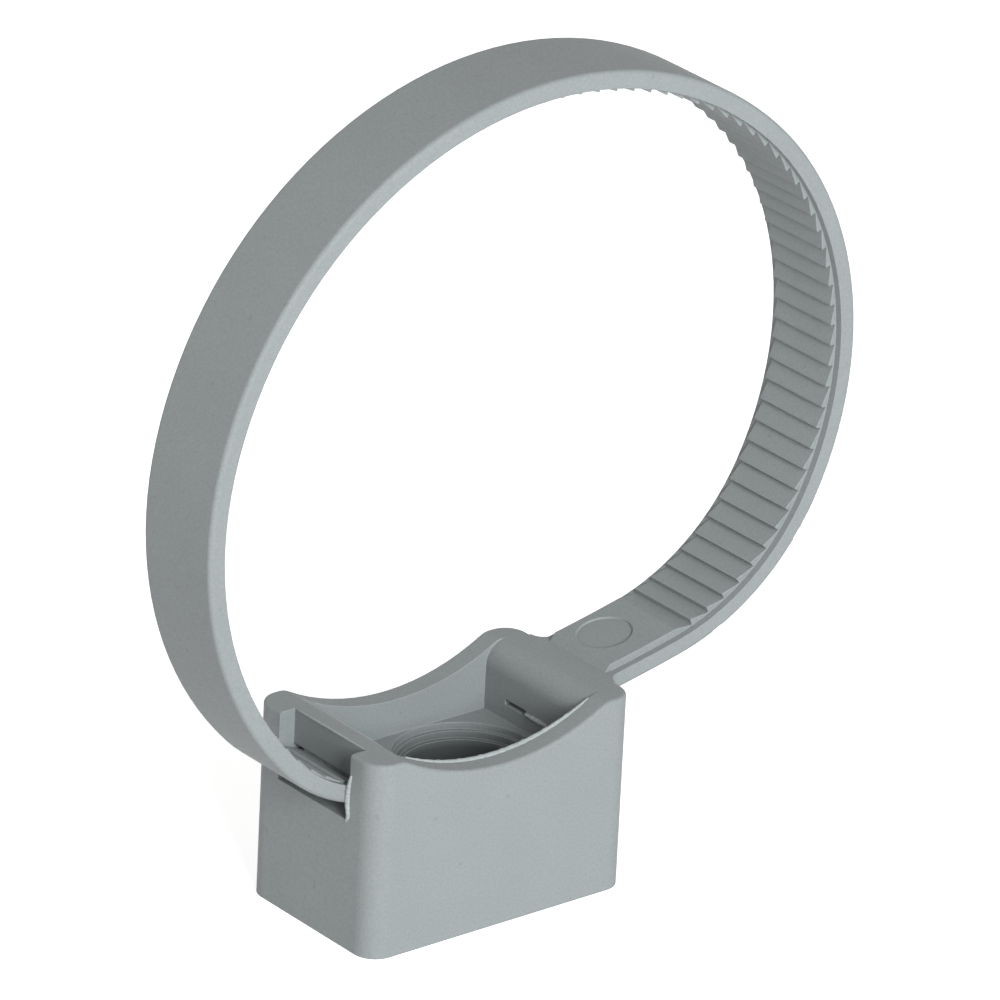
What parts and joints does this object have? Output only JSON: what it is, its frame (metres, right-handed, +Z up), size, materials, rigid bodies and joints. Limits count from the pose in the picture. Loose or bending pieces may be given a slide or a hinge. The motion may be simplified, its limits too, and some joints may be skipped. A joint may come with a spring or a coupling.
{
  "type": "pipe clip",
  "caption": "Moulded pipe clip: a mounting block with a curved pipe saddle and a screw hole, and a toothed strap closed into a loop in its ratchet lock.",
  "frame": {"origin": "axis of the screw hole at the underside of the block", "axes": "+X from the lock end of the block to the end that the strap grows out of, +Y to the back, +Z up along the screw hole, out of the underside towards the pipe"},
  "size_m": [0.0658, 0.0164, 0.0711],
  "materials": {
    "moulding": "matte grey moulded plastic with a fine grain"
  },
  "bodies": {
    "root": {"pipe_clip": "moulding"}
  },
  "joints": []
}
